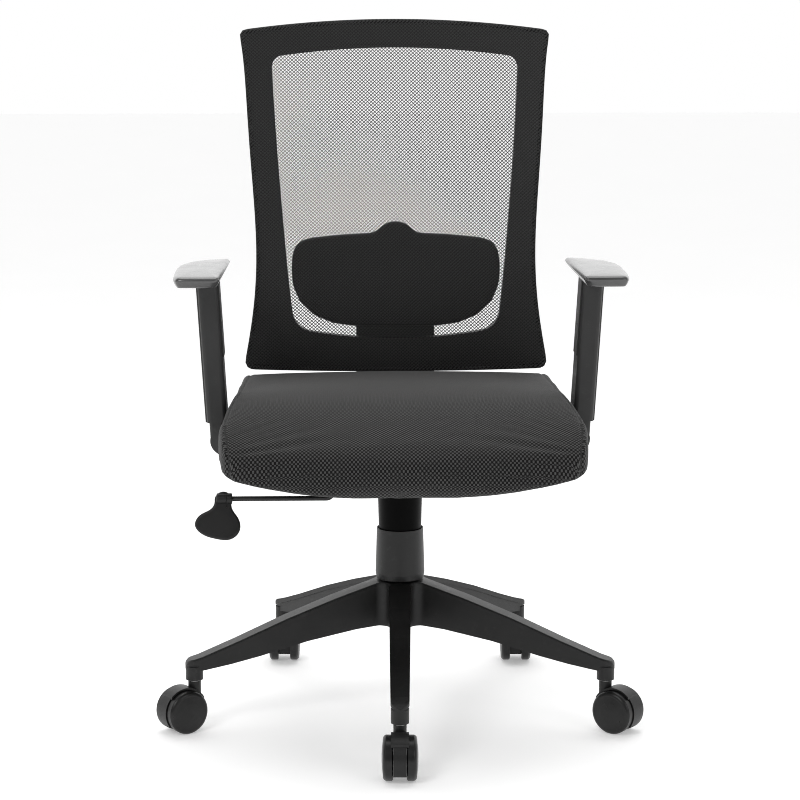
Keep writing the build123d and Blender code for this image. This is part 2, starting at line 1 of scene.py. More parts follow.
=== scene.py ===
import bpy
import bmesh
import json
import numpy as np
from math import radians, sin, cos, pi
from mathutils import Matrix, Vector


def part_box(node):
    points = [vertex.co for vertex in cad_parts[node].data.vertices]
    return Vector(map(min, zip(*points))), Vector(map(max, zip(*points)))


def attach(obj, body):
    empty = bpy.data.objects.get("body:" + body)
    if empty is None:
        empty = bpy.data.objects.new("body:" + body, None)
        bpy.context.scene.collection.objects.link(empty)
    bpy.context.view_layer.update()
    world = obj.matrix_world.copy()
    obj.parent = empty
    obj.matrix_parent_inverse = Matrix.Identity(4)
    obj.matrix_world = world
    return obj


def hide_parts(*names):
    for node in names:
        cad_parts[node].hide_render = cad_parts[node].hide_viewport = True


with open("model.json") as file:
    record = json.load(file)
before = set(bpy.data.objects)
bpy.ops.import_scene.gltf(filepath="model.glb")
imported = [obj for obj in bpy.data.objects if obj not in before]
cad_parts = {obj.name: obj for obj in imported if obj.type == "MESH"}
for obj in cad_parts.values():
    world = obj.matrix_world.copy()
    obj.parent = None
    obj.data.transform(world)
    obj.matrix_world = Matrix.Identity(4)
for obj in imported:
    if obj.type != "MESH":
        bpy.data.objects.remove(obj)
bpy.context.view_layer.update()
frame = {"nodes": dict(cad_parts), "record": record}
nodes = frame["nodes"]
scene = bpy.context.scene
print("frame loaded:", len(nodes), "nodes")


# shader helpers
class Socket:
    # one output of a shader node; plain maths on it adds Math nodes
    def __init__(self, shade, link):
        self.shade, self.link = shade, link

    def maths(self, operation, first, second=None):
        inputs = {0: first} if second is None else {0: first, 1: second}
        return self.shade.add("ShaderNodeMath", {"operation": operation}, inputs)

    def __add__(self, other):
        return self.maths("ADD", self, other)

    def __radd__(self, other):
        return self.maths("ADD", other, self)

    def __sub__(self, other):
        return self.maths("SUBTRACT", self, other)

    def __rsub__(self, other):
        return self.maths("SUBTRACT", other, self)

    def __mul__(self, other):
        return self.maths("MULTIPLY", self, other)

    def __rmul__(self, other):
        return self.maths("MULTIPLY", other, self)

    def cosine(self):
        return self.maths("COSINE", self)

    def smooth(self, low, high, outLow=0.0, outHigh=1.0):
        # from outLow at low to outHigh at high, level beyond both
        inputs = {"Value": self, "From Min": low, "From Max": high, "To Min": outLow, "To Max": outHigh}
        return self.shade.add("ShaderNodeMapRange", {"interpolation_type": "SMOOTHSTEP"}, inputs)


class Shade:
    # one material with its Principled shader; add() makes every other node
    def __init__(self, name, **fixed):
        self.material = bpy.data.materials.new(name)
        self.material.use_nodes = True
        self.tree = self.material.node_tree
        self.surface = self.tree.nodes["Principled BSDF"]
        for key, value in fixed.items():
            self.surface.inputs[key.replace("_", " ")].default_value = value

    def add(self, kind, settings=None, inputs=None, output=0):
        node = self.tree.nodes.new(kind)
        for key, value in (settings or {}).items():
            setattr(node, key, value)
        for key, value in (inputs or {}).items():
            if isinstance(value, Socket):
                self.tree.links.new(value.link, node.inputs[key])
            else:
                node.inputs[key].default_value = value
        return Socket(self, node.outputs[output])

    def place(self):
        return self.add("ShaderNodeTexCoord", output="Object")

    def axis(self, vector, letter):
        return self.add("ShaderNodeSeparateXYZ", None, {0: vector}, output=letter)

    def noise(self, scale, detail=3.0, roughness=0.55, vector=None):
        inputs = {"Vector": vector or self.place(), "Scale": scale, "Detail": detail, "Roughness": roughness}
        return self.add("ShaderNodeTexNoise", None, inputs)

    def colour(self, factor, first, second):
        # sockets 6 and 7 of the Mix node are its two colours
        inputs = {"Factor": factor, 6: asColour(first), 7: asColour(second)}
        return self.add("ShaderNodeMix", {"data_type": "RGBA"}, inputs, output=2)

    def put(self, **links):
        for key, value in links.items():
            self.tree.links.new(value.link, self.surface.inputs[key.replace("_", " ")])
        return self

    def bump(self, height, strength, distance):
        inputs = {"Height": height, "Strength": strength, "Distance": distance}
        return self.put(Normal=self.add("ShaderNodeBump", None, inputs))


def asColour(value):
    # a socket as it is, or red, green and blue with full alpha
    return value if isinstance(value, Socket) else (*value, 1.0)


def grey(level, warm=0.0):
    # a display grey from 0 to 255, as linear light
    v = (level / 255.0) ** 2.2
    return (v * (1 + warm), v, v * (1 - warm))


# finishes; each look's dark and light are the two ends of its base colour
mouldLook = {"patchSize": 2.6, "patchFrom": 0.56, "patchTo": 0.74, "drift": 0.12, "polish": 0.08, "relief": 0.0004}


def mouldedPlastic(name, look):
    # spark-eroded texture, faint mottling and a few rubbed patches
    shade = Shade(name, IOR=1.5, Specular_IOR_Level=look["gloss"])
    grain = shade.noise(look["grain"], 2.0, 0.6)
    mottle = shade.noise(look["mottle"], 3.0, 0.5)
    rubbed = shade.noise(look["mottle"] * mouldLook["patchSize"], 4.0, 0.7)
    rubbed = rubbed.smooth(mouldLook["patchFrom"], mouldLook["patchTo"])
    tone = shade.colour(mottle.smooth(0.3, 0.7), look["dark"], look["light"])
    tone = shade.colour(rubbed * look["wear"], tone, look["worn"])
    roughness = look["roughness"] + (mottle - 0.5) * mouldLook["drift"] - rubbed * mouldLook["polish"]
    return shade.put(Base_Color=tone, Roughness=roughness).bump(grain, look["bump"], mouldLook["relief"]).material


turnedLook = {"stretch": (40, 40, 2600), "lines": 0.10, "film": 0.08, "relief": 0.0001}


def turnedMetal(name, look):
    # fine turning lines round the upright axis, with a film of oil marks
    shade = Shade(name, Metallic=1.0)
    stretch = shade.add("ShaderNodeMapping", None, {"Vector": shade.place(), "Scale": turnedLook["stretch"]})
    lines = shade.noise(1.0, 2.0, 0.6, stretch)
    marks = shade.noise(look["marks"], 3.0, 0.6)
    tone = shade.colour(marks.smooth(0.35, 0.7), look["dark"], look["light"])
    roughness = look["roughness"] + lines * turnedLook["lines"] + marks * turnedLook["film"]
    return shade.put(Base_Color=tone, Roughness=roughness).bump(lines, look["bump"], turnedLook["relief"]).material


paintLook = {"cloud": 9.0, "drift": 0.2, "relief": 0.0003}


def paintedSteel(name, look):
    # powder coat: orange peel that also shows in the roughness, under a faint cloud of tone
    shade = Shade(name, Specular_IOR_Level=0.5)
    peel = shade.noise(look["peel"], 2.0, 0.5)
    cloud = shade.noise(paintLook["cloud"], 3.0, 0.5)
    tone = shade.colour(cloud.smooth(0.3, 0.7), look["dark"], look["light"])
    roughness = look["roughness"] + (peel - 0.5) * paintLook["drift"]
    return shade.put(Base_Color=tone, Roughness=roughness).bump(peel, look["bump"], paintLook["relief"]).material


plyLook = {
    "stretch": (9, 160, 160), "veneer": 0.0034, "light": (0.56, 0.38, 0.21), "dark": (0.36, 0.22, 0.11),
    "glue": (0.22, 0.13, 0.07), "glueShare": 0.45, "relief": 0.0003,
}


def plyBoard(name, look):
    # stacked veneers on the edge, long grain on the faces
    shade = Shade(name, Specular_IOR_Level=0.35)
    point = shade.place()
    grain = shade.add("ShaderNodeMapping", None, {"Vector": point, "Scale": look["stretch"]})
    streak = shade.noise(1.0, 4.0, 0.6, grain)
    layer = (shade.axis(point, "Z") * (2 * pi / look["veneer"])).cosine()
    tone = shade.colour(streak.smooth(0.3, 0.72), look["light"], look["dark"])
    tone = shade.colour(layer.smooth(-0.2, 0.4, 0.0, look["glueShare"]), tone, look["glue"])
    return shade.put(Base_Color=tone, Roughness=0.55 + streak * 0.2).bump(streak, 0.2, look["relief"]).material


liningLook = {"level": 34, "lighter": 14, "darker": 10, "fibre": 900.0, "dots": 0.003, "relief": 0.0004}


def nonWoven(name, look):
    # felted lining with embossed points
    shade = Shade(name, Sheen_Weight=0.3, Specular_IOR_Level=0.2)
    fibre = shade.noise(look["fibre"], 3.0, 0.7)
    point = shade.place()
    dotX = (shade.axis(point, "X") * (2 * pi / look["dots"])).cosine()
    dotY = (shade.axis(point, "Y") * (2 * pi / look["dots"])).cosine()
    pressed = (dotX * dotY).smooth(0.5, 0.9)
    tone = shade.colour(fibre.smooth(0.3, 0.7), grey(look["level"]), grey(look["level"] + look["lighter"]))
    tone = shade.colour(pressed, tone, grey(look["level"] - look["darker"]))
    height = fibre - pressed * 0.6
    return shade.put(Base_Color=tone, Roughness=0.95 - pressed * 0.2).bump(height, 0.5, look["relief"]).material


def holeLattice(u, v, pitchU, pitchV):
    # rows of holes, each row half a step along: half plus a quarter of the sum of two slanted cosine waves,
    # which is 1 at the middle of a hole and 0 between holes
    a = (u * (2 * pi / pitchU) + v * (2 * pi / pitchV)).cosine()
    b = (u * (2 * pi / pitchU) - v * (2 * pi / pitchV)).cosine()
    return (a + b) * 0.25 + 0.5


weave = {
    "pitchU": 0.0054, "pitchV": 0.0058, "holeFrom": 0.38, "holeTo": 0.52, "yarn": 1900.0, "cloud": 16.0,
    "relief": 0.0009,
}


def spacerFabric(name, look):
    # knitted spacer cloth: holes in offset rows painted dark as the shade inside them, ribs between them, fine yarn
    # fuzz;
    # the weave attribute holds the place along and across the cloth, and how strongly that painted hole shade shows
    shade = Shade(name, Sheen_Weight=look["sheen"], Sheen_Roughness=0.5, Specular_IOR_Level=0.25)
    cloth = shade.add("ShaderNodeAttribute", {"attribute_name": "weave"}, output="Vector")
    u, v, spread = shade.axis(cloth, "X"), shade.axis(cloth, "Y"), shade.axis(cloth, "Z")
    hole = holeLattice(u, v, weave["pitchU"], weave["pitchV"])
    # painted shade: how strongly the holes darken is set per point by the third part of the weave attribute
    gap = hole.smooth(weave["holeFrom"], weave["holeTo"]) * spread
    yarn = shade.noise(weave["yarn"], 2.0, 0.6)
    cloud = shade.noise(weave["cloud"], 3.0, 0.5)
    tone = shade.colour(yarn.smooth(0.3, 0.7), look["dark"], look["light"])
    tone = shade.colour(cloud.smooth(0.3, 0.7, 0.0, 0.35), tone, look["cloud"])
    # painted shade: the holes are darkened towards the hole grey
    tone = shade.colour(gap * look["depth"], tone, look["hole"])
    height = (1.0 - gap) * 0.8 + yarn * 0.2
    return shade.put(Base_Color=tone, Roughness=0.86 + gap * 0.1).bump(height, look["bump"], weave["relief"]).material


def knitYarn(name, look):
    # strands of the back mesh: twisted yarn with a dull shine
    shade = Shade(name, Sheen_Weight=0.15, Specular_IOR_Level=0.35)
    twist = shade.noise(look["twist"], 2.0, 0.6)
    cloud = shade.noise(look["drift"], 2.0, 0.5)
    tone = shade.colour(twist.smooth(0.3, 0.7), look["dark"], look["light"])
    tone = shade.colour(cloud.smooth(0.3, 0.7, 0.0, 0.3), tone, look["cloud"])
    return shade.put(Base_Color=tone, Roughness=0.7 + twist * 0.2).bump(twist, 0.4, 0.0002).material


plastics = {
    "nylon": {"dark": grey(24), "light": grey(30), "worn": grey(50), "wear": 0.35, "roughness": 0.42,
              "gloss": 0.38, "grain": 1400.0, "mottle": 22.0, "bump": 0.35},
    "wheelNylon": {"dark": grey(22), "light": grey(28), "worn": grey(46), "wear": 0.5, "roughness": 0.33,
                   "gloss": 0.38, "grain": 900.0, "mottle": 60.0, "bump": 0.12},
    "coverGrey": {"dark": grey(24), "light": grey(29), "worn": grey(50), "wear": 0.3, "roughness": 0.45,
                  "gloss": 0.45, "grain": 1500.0, "mottle": 30.0, "bump": 0.3},
    "coverBlack": {"dark": grey(3), "light": grey(5), "worn": grey(12), "wear": 0.3, "roughness": 0.4,
                   "gloss": 0.06, "grain": 1500.0, "mottle": 30.0, "bump": 0.3},
    "frameBlack": {"dark": grey(10), "light": grey(14), "worn": grey(24), "wear": 0.3, "roughness": 0.5,
                   "gloss": 0.4, "grain": 1300.0, "mottle": 18.0, "bump": 0.4},
    "armNylon": {"dark": grey(32), "light": grey(38), "worn": grey(60), "wear": 0.3, "roughness": 0.42,
                 "gloss": 0.5, "grain": 1400.0, "mottle": 26.0, "bump": 0.3},
    "acetal": {"dark": grey(205), "light": grey(222), "worn": grey(180), "wear": 0.3, "roughness": 0.4,
               "gloss": 0.5, "grain": 700.0, "mottle": 40.0, "bump": 0.1},
}
metals = {
    "plated": {"dark": grey(190), "light": grey(225), "roughness": 0.10, "marks": 40.0, "bump": 0.05},
    "zinc": {"dark": grey(140), "light": grey(185), "roughness": 0.28, "marks": 60.0, "bump": 0.15},
    "oiled": {"dark": grey(90), "light": grey(130), "roughness": 0.3, "marks": 80.0, "bump": 0.15},
}
paints = {
    "powderBlack": {"dark": grey(24), "light": grey(31), "roughness": 0.42, "peel": 420.0, "bump": 0.25},
    "glossBlack": {"dark": grey(20), "light": grey(26), "roughness": 0.22, "peel": 160.0, "bump": 0.08},
}
finish = {name: mouldedPlastic(name, look) for name, look in plastics.items()}
finish.update({name: turnedMetal(name, look) for name, look in metals.items()})
finish.update({name: paintedSteel(name, look) for name, look in paints.items()})
finish["ply"] = plyBoard("ply", plyLook)
finish["lining"] = nonWoven("lining", liningLook)
# the hole grey here and in the wrap cloth is painted shade inside the holes
finish["seatCloth"] = spacerFabric("seatCloth", {
    "dark": grey(62), "light": grey(82, 0.02), "cloud": grey(70), "hole": grey(5), "depth": 0.97,
    "sheen": 0.10, "bump": 0.8})
finish["yarn"] = knitYarn("yarn", {
    "dark": grey(44), "light": grey(60), "cloud": grey(50), "twist": 1500.0, "drift": 20.0})
print("finishes made:", len(finish))

# the finish of each material slot of the carried-over nodes
slotFinish = {
    "nylon": "nylon", "wheel_nylon": "wheelNylon", "cover_grey": "coverGrey", "cover_black": "coverBlack",
    "black_steel": "powderBlack", "lift_steel": "glossBlack", "bright_steel": "plated", "zinc_steel": "zinc",
    "spring_steel": "oiled", "bush_acetal": "acetal", "plywood": "ply", "lining": "lining",
    "seat_fabric": "seatCloth", "back_fabric": "yarn", "arm_nylon": "armNylon", "arm_soft": "armNylon",
    "lumbar_foam": "frameBlack",
}
for part in frame["record"]["subparts"]:
    node = nodes[part["node"]]
    node.data.materials.clear()
    node.data.materials.append(finish[slotFinish[part["material_slot"]]])
for name in ("back_frame", "back_upright", "lumbar_slider"):
    nodes[name].data.materials[0] = finish["frameBlack"]
nodes["back_bolts"].data.materials[0] = finish["glossBlack"]


# mesh helpers
def gridFaces(rows, columns, closeRows=False, closeColumns=False):
    # quads of a rows by columns grid, numbered row by row
    i, j = np.meshgrid(np.arange(rows - (not closeRows)), np.arange(columns - (not closeColumns)), indexing="ij")
    i, j = i.ravel(), j.ravel()
    below, beside = (i + 1) % rows, (j + 1) % columns
    return np.stack([i * columns + j, i * columns + beside, below * columns + beside, below * columns + j], 1)


def turnOutward(mesh, weld):
    # faces turned outward; with weld, doubled vertices are joined and slivers removed first
    work = bmesh.new()
    work.from_mesh(mesh)
    if weld:
        bmesh.ops.remove_doubles(work, verts=work.verts, dist=1e-6)
        bmesh.ops.dissolve_degenerate(work, dist=1e-7, edges=work.edges)
    bmesh.ops.recalc_face_normals(work, faces=work.faces)
    work.to_mesh(mesh)
    work.free()


def makePiece(name, points, faces, material, mend=True):
    mesh = bpy.data.meshes.new(name)
    mesh.from_pydata(np.asarray(points, float).reshape(-1, 3).tolist(), [], np.asarray(faces).tolist())
    if mend:
        turnOutward(mesh, True)
    mesh.polygons.foreach_set("use_smooth", np.ones(len(mesh.polygons), bool))
    mesh.update()
    piece = bpy.data.objects.new(name, mesh)
    scene.collection.objects.link(piece)
    piece.data.materials.append(material)
    return piece


def coordinates(mesh):
    flat = np.empty(len(mesh.vertices) * 3)
    mesh.vertices.foreach_get("co", flat)
    return flat.reshape(-1, 3)


def setCoordinates(mesh, points):
    mesh.vertices.foreach_set("co", np.asarray(points).ravel())
    mesh.update()


def closedTube(path, radius, sides):
    # round closed tube: at each point of the path, a circle square to the path
    aside = [0.31, 0.17, 0.93]                         # any direction the path never takes
    ahead = np.roll(path, -1, 0) - np.roll(path, 1, 0)
    ahead /= np.linalg.norm(ahead, axis=1)[:, None]
    across = np.cross(ahead, aside)
    across /= np.linalg.norm(across, axis=1)[:, None]
    up = np.cross(across, ahead)
    turn = np.linspace(0, 2 * pi, sides, endpoint=False)
    ring = across[:, None] * np.cos(turn)[None, :, None] + up[:, None] * np.sin(turn)[None, :, None]
    return path[:, None] + radius * ring, gridFaces(len(path), sides, True, True)


def writeWeave(piece, u, v, spread):
    # the place on the cloth, and how strongly the painted shade in its holes shows
    layer = piece.data.attributes.new("weave", "FLOAT_VECTOR", "POINT")
    layer.data.foreach_set("vector", np.stack([u, v, spread], -1).ravel())


# the back: a surface turned about an upright axis in front of the chair
meshLook = {
    "turnRadius": 1.010, "waistY": 0.207, "pitch": 0.0036, "climb": 0.90, "strandWide": 0.00104,
    "strandThick": 0.00050, "depth": 0.0007, "layer": 0.0005, "segments": 40, "cornerTop": 0.010,
    "cornerBottom": 0.014, "crown": 0.015, "crownReach": 0.2255, "sag": 0.008, "sagReach": 0.221,
    "clear": 0.0006, "spread": 0.36, "farthest": 0.42, "steps": 700,
    "rayLong": 0.40, "halvings": 40,
}
# where the outline's half width is read: distance from both ends, number of heights, half a slice
widthLook = {"trim": 0.030, "slices": 40, "sliceHalf": 0.012}
turnY = meshLook["waistY"] - meshLook["turnRadius"]
backPoints = coordinates(nodes["back_mesh"].data)
fromAxis = np.hypot(backPoints[:, 0], backPoints[:, 1] - turnY)
backLow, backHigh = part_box("back_mesh")
backMiddle = (backLow.z + backHigh.z) / 2
backHalf = (backHigh.z - backLow.z) / 2


def scaled(z):
    # height as -1 at the foot to 1 at the top of the back
    return (z - backMiddle) / backHalf


def fitFront():
    # distance from the axis against height, fitted to the vertices, then to the nearer face alone
    t = scaled(backPoints[:, 2])
    both = np.polynomial.polynomial.polyfit(t, fromAxis, 6)
    front = fromAxis < np.polynomial.polynomial.polyval(t, both)
    return np.polynomial.polynomial.polyfit(t[front], fromAxis[front], 6)


def fitWidth():
    # half width against height: the widest vertex of each thin slice
    trim = widthLook["trim"]
    heights = np.linspace(backLow.z + trim, backHigh.z - trim, widthLook["slices"])
    rows = [(h, np.abs(backPoints[np.abs(backPoints[:, 2] - h) < widthLook["sliceHalf"], 0])) for h in heights]
    height, width = np.array([(h, row.max()) for h, row in rows if len(row)]).T
    return np.polynomial.polynomial.polyfit(scaled(height), width, 5)


frontFit, widthFit = fitFront(), fitWidth()


def halfWidth(z):
    return np.polynomial.polynomial.polyval(scaled(z), widthFit)


def backSurface(x, z, depth=0.0):
    # y on the turned surface, depth behind its front face: a circle about the axis at each height
    radius = np.polynomial.polynomial.polyval(scaled(z), frontFit) + depth
    return turnY + np.sqrt(radius ** 2 - x ** 2)


def onBack(x, z, depth=0.0):
    return np.stack([x, backSurface(x, z, depth), z], -1)


def insideBack(x, z):
    # distance in from the outline: the least of side, top and bottom, rounded at the corners
    side = halfWidth(z) - np.abs(x)
    top = backHigh.z - meshLook["crown"] * (x / meshLook["crownReach"]) ** 2 - z
    bottom = z - backLow.z - meshLook["sag"] * (x / meshLook["sagReach"]) ** 2
    ends = np.minimum(top, bottom)
    corner = np.where(top < bottom, meshLook["cornerTop"], meshLook["cornerBottom"])
    bend = corner - np.hypot(corner - side, corner - ends)
    return np.where((side < corner) & (ends < corner), bend, np.minimum(side, ends))


def outlineRing(inset, count=320):
    # points round the outline, inset inwards, found by halving along rays from the middle
    turn = np.linspace(0, 2 * pi, count, endpoint=False)
    near, far = np.zeros(count), np.full(count, meshLook["rayLong"])
    for _ in range(meshLook["halvings"]):
        middle = (near + far) / 2
        inside = insideBack(middle * np.cos(turn), backMiddle + middle * np.sin(turn)) > inset
        near, far = np.where(inside, middle, near), np.where(inside, far, middle)
    return near * np.cos(turn), backMiddle + near * np.sin(turn)


def meshStrands():
    # two families of slanted strands; each is a flat four-sided strand laid on the surface
    run = np.array([1.0, meshLook["climb"]]) / np.hypot(1.0, meshLook["climb"])
    points, faces, first = [], [], 0
    for family, lean in enumerate((1.0, -1.0)):
        ahead = run * [1.0, lean]
        across = np.array([-ahead[1], ahead[0]])
        shift = np.arange(-meshLook["spread"], meshLook["spread"], meshLook["pitch"])
        along = np.linspace(-meshLook["farthest"], meshLook["farthest"], meshLook["steps"])
        x = shift[:, None] * across[0] + along[None] * ahead[0]
        z = backMiddle + shift[:, None] * across[1] + along[None] * ahead[1]
        inside = insideBack(x, z) > meshLook["clear"]
        keep = inside.sum(1) > 4
        inside, shift = inside[keep], shift[keep]
        start = along[inside.argmax(1)]
        stop = along[inside.shape[1] - 1 - inside[:, ::-1].argmax(1)]
        t = start[:, None] + (stop - start)[:, None] * np.linspace(0, 1, meshLook["segments"] + 1)[None]
        x = shift[:, None] * across[0] + t * ahead[0]
        z = backMiddle + shift[:, None] * across[1] + t * ahead[1]
        half = meshLook["strandWide"] / 2
        level = meshLook["depth"] + family * meshLook["layer"]
        corners = [(half, 0.0), (half, meshLook["strandThick"]), (-half, meshLook["strandThick"]), (-half, 0.0)]
        ring = [onBack(x + c * across[0], z + c * across[1], level + d) for c, d in corners]
        block = np.stack(ring, 2)                      # strand, step, corner, xyz
        rows = meshLook["segments"] + 1
        quads = gridFaces(rows, 4, False, True)
        caps = np.array([[0, 1, 2, 3], [4 * rows - 1, 4 * rows - 2, 4 * rows - 3, 4 * rows - 4]])
        one = np.concatenate([quads, caps])
        starts = first + np.arange(len(block)) * rows * 4
        faces.append((one[None] + starts[:, None, None]).reshape(-1, 4))
        points.append(block.reshape(-1, 3))
        first += block.reshape(-1, 3).shape[0]
    return np.concatenate(points), np.concatenate(faces)


strandPoints, strandFaces = meshStrands()
backMesh = makePiece("backMesh", strandPoints, strandFaces, finish["yarn"], mend=False)
turnOutward(backMesh.data, False)
for polygon in backMesh.data.polygons:
    polygon.use_smooth = False
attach(backMesh, "seat")
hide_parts("back_mesh")
print("back mesh:", len(strandFaces), "faces")

wrapLook = {"reach": 0.016, "thick": 0.0182, "bead": 0.0017, "beadIn": 0.0006, "beadBack": 0.0004, "lean": 0.5}


def meshWrap():
    # the cloth folded round the frame's edge: a bent strip (inset, depth) carried round the outline
    t = wrapLook["thick"]
    strip = [(0.0060, 0.0009), (0.0030, 0.0008), (0.0012, 0.0011), (0.0001, 0.0026), (-0.0004, 0.0070),
             (-0.0003, t - 0.0050), (0.0004, t - 0.0016), (0.0022, t - 0.0001), (0.0060, t),
             (wrapLook["reach"], t), (wrapLook["reach"], t - 0.0005), (0.0060, t - 0.0006),
             (0.0026, t - 0.0008), (0.0010, t - 0.0022), (0.0004, t - 0.0052), (0.0004, 0.0070),
             (0.0008, 0.0030), (0.0018, 0.0018), (0.0032, 0.0014), (0.0060, 0.0014)]
    rings = []
    for inset, depth in strip:
        x, z = outlineRing(inset)
        rings.append(onBack(x, z, depth))
    return np.stack(rings, 0), gridFaces(len(strip), len(rings[0]), True, True)


finish["wrapCloth"] = spacerFabric("wrapCloth", {
    "dark": grey(44), "light": grey(58), "cloud": grey(50), "hole": grey(4), "depth": 0.97, "sheen": 0.10,
    "bump": 0.5})
wrap = makePiece("meshEdgeWrap", *meshWrap(), finish["wrapCloth"])
wrapPoints = coordinates(wrap.data)
writeWeave(wrap, wrapPoints[:, 0] + wrapPoints[:, 1], wrapPoints[:, 2] + wrapPoints[:, 1] * wrapLook["lean"],
           np.ones(len(wrapPoints)))
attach(wrap, "seat")
beadPath = onBack(*outlineRing(wrapLook["reach"] + wrapLook["beadIn"]), wrapLook["thick"] + wrapLook["beadBack"])
welt = makePiece("meshEdgeBead", *closedTube(beadPath, wrapLook["bead"], 10), finish["frameBlack"])
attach(welt, "seat")
print("back edge wrapped")

# seat cushion: the foam block is remeshed, shrunk, blown up by cloth pressure and sewn
# the last three: how much painted hole shade is taken off over the seat's top and rear, and where along y that starts
# and ends
cushionLook = {
    "voxel": 0.005, "pressure": 4.0, "frames": 20, "cap": 0.006, "shrink": 0.0016, "soften": 12,
    "seamInset": 0.0115, "seamDepth": 0.0014, "seamWide": 0.0022, "welt": 0.0004, "weltReach": 0.0042,
    "sewnDown": 0.034, "sewnFacing": -0.6, "hang": 0.0030, "cornerHang": 0.0030, "shoulder": 0.0030,
    "quality": 5, "mass": 0.3, "flank": 0.0006, "holeShadeCut": 0.75, "holeShadeCutFrom": -0.150, "holeShadeCutTo": 0.060,
}
# what the cloth holds on to: above the board, its front and side, the rear foot, and beside a seam
heldLook = {"up": 0.004, "front": -0.215, "side": 0.222, "footUp": 0.006, "footFront": -0.150, "seam": 0.004}
boardLow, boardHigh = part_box("seat_board")
# half width of the seat, from front to rear: y, half width
seatSides = np.array([(-0.268, 0.2325), (-0.242, 0.2390), (-0.190, 0.2455), (-0.150, 0.2470), (0.207, 0.2230)])
# the cloth's run over the middle of the seat, from under the nose to the foot of the rear: y, z
clothLine = np.array([
    (-0.205, 0.367), (-0.243, 0.359), (-0.259, 0.366), (-0.264, 0.380), (-0.260, 0.396), (-0.249, 0.409),
    (-0.232, 0.420), (-0.212, 0.430), (-0.190, 0.439), (-0.166, 0.445), (-0.140, 0.450), (-0.110, 0.454),
    (-0.080, 0.457), (-0.040, 0.459), (0.020, 0.460), (0.090, 0.459), (0.179, 0.458), (0.199, 0.449),
    (0.207, 0.428), (0.207, 0.390)])


def applyModifiers(piece):
    evaluated = piece.evaluated_get(bpy.context.evaluated_depsgraph_get())
    made = bpy.data.meshes.new_from_object(evaluated)
    old = piece.data
    piece.modifiers.clear()
    piece.data = made
    bpy.data.meshes.remove(old)


def vertexNormals(mesh):
    flat = np.empty(len(mesh.vertices) * 3)
    mesh.vertices.foreach_get("normal", flat)
    return flat.reshape(-1, 3)


def copyOf(node, name, material):
    # the CAD solid's mesh as a piece of its own
    piece = bpy.data.objects.new(name, nodes[node].data.copy())
    scene.collection.objects.link(piece)
    piece.data.materials.clear()
    piece.data.materials.append(material)
    return piece


def remeshed(piece, look):
    # even quads over the solid, softened, then drawn in to leave room for the swelling
    remesh = piece.modifiers.new("remesh", "REMESH")
    remesh.mode, remesh.voxel_size = "VOXEL", look["voxel"]
    soften = piece.modifiers.new("soften", "SMOOTH")
    soften.factor, soften.iterations = 0.5, look["soften"]
    applyModifiers(piece)
    setCoordinates(piece.data, coordinates(piece.data) - vertexNormals(piece.data) * look["shrink"])


def inflated(piece, look, heldAt):
    # cloth with air pressure; vertices where heldAt is true stay; each may move up to the cap
    before = coordinates(piece.data)
    pinned = piece.vertex_groups.new(name="pinned")
    pinned.add(np.nonzero(heldAt(before))[0].tolist(), 1.0, "REPLACE")
    cloth = piece.modifiers.new("cloth", "CLOTH").settings
    cloth.use_pressure, cloth.uniform_pressure_force = True, look["pressure"]
    cloth.effector_weights.gravity = 0.0
    cloth.vertex_group_mass = "pinned"
    cloth.quality, cloth.mass = look["quality"], look["mass"]
    scene.frame_start, scene.frame_end = 1, look["frames"]
    for step in range(1, look["frames"] + 1):
        scene.frame_set(step)
    applyModifiers(piece)
    scene.frame_set(1)
    piece.vertex_groups.clear()
    moved = coordinates(piece.data) - before
    length = np.linalg.norm(moved, axis=1)
    share = np.minimum(1.0, look["cap"] / np.maximum(length, 1e-9))
    setCoordinates(piece.data, before + moved * share[:, None])
    print(piece.name, "swelled by", round(float(length.max()) * 1000, 1), "mm before the cap")


def divided(piece):
    # each face split in four and smoothed
    divide = piece.modifiers.new("divide", "SUBSURF")
    divide.levels = divide.render_levels = 1
    applyModifiers(piece)
    piece.data.polygons.foreach_set("use_smooth", np.ones(len(piece.data.polygons), bool))


def beyondSeam(points):
    # how far a point lies outside (+) or inside (-) the side seam's line
    return np.abs(points[:, 0]) - (np.interp(points[:, 1], *seatSides.T) - cushionLook["seamInset"])


def seatHeld(points):
    # the underside round the board, the rear foot and the seams stay where they are
    x, y, z = points.T
    under = (z < boardHigh.z + heldLook["up"]) & (y > heldLook["front"]) & (np.abs(x) < heldLook["side"])
    foot = (z < boardLow.z + heldLook["footUp"]) & (y > heldLook["footFront"])
    return under | foot | (np.abs(beyondSeam(points)) < heldLook["seam"])


def runAlong(points, line):
    # distance along a bent line of the nearest place on it
    start, step = line[:-1], np.diff(line, axis=0)
    size = np.linalg.norm(step, axis=1)
    before = np.concatenate([[0], np.cumsum(size)[:-1]])
    best, run = np.full(len(points), 9.0), np.zeros(len(points))
    for a, d, s, b in zip(start, step, size, before):
        share = np.clip(((points - a) @ d) / s ** 2, 0, 1)
        gap = np.linalg.norm(points - a - share[:, None] * d, axis=1)
        nearer = gap < best
        best, run = np.where(nearer, gap, best), np.where(nearer, b + share * s, run)
    return run


def ramp(value, low, high):
    # smoothly from 0 at low to 1 at high
    t = np.clip((value - low) / (high - low), 0, 1)
    return t * t * (3 - 2 * t)


# from none to full: how far forward and how low the nose hangs, how far forward and out the shoulders stand
fullLook = {"nose": (0.190, 0.235), "below": (-0.420, -0.380), "corner": 0.22, "ahead": (-0.060, 0.060),
            "outer": (0.150, 0.225)}


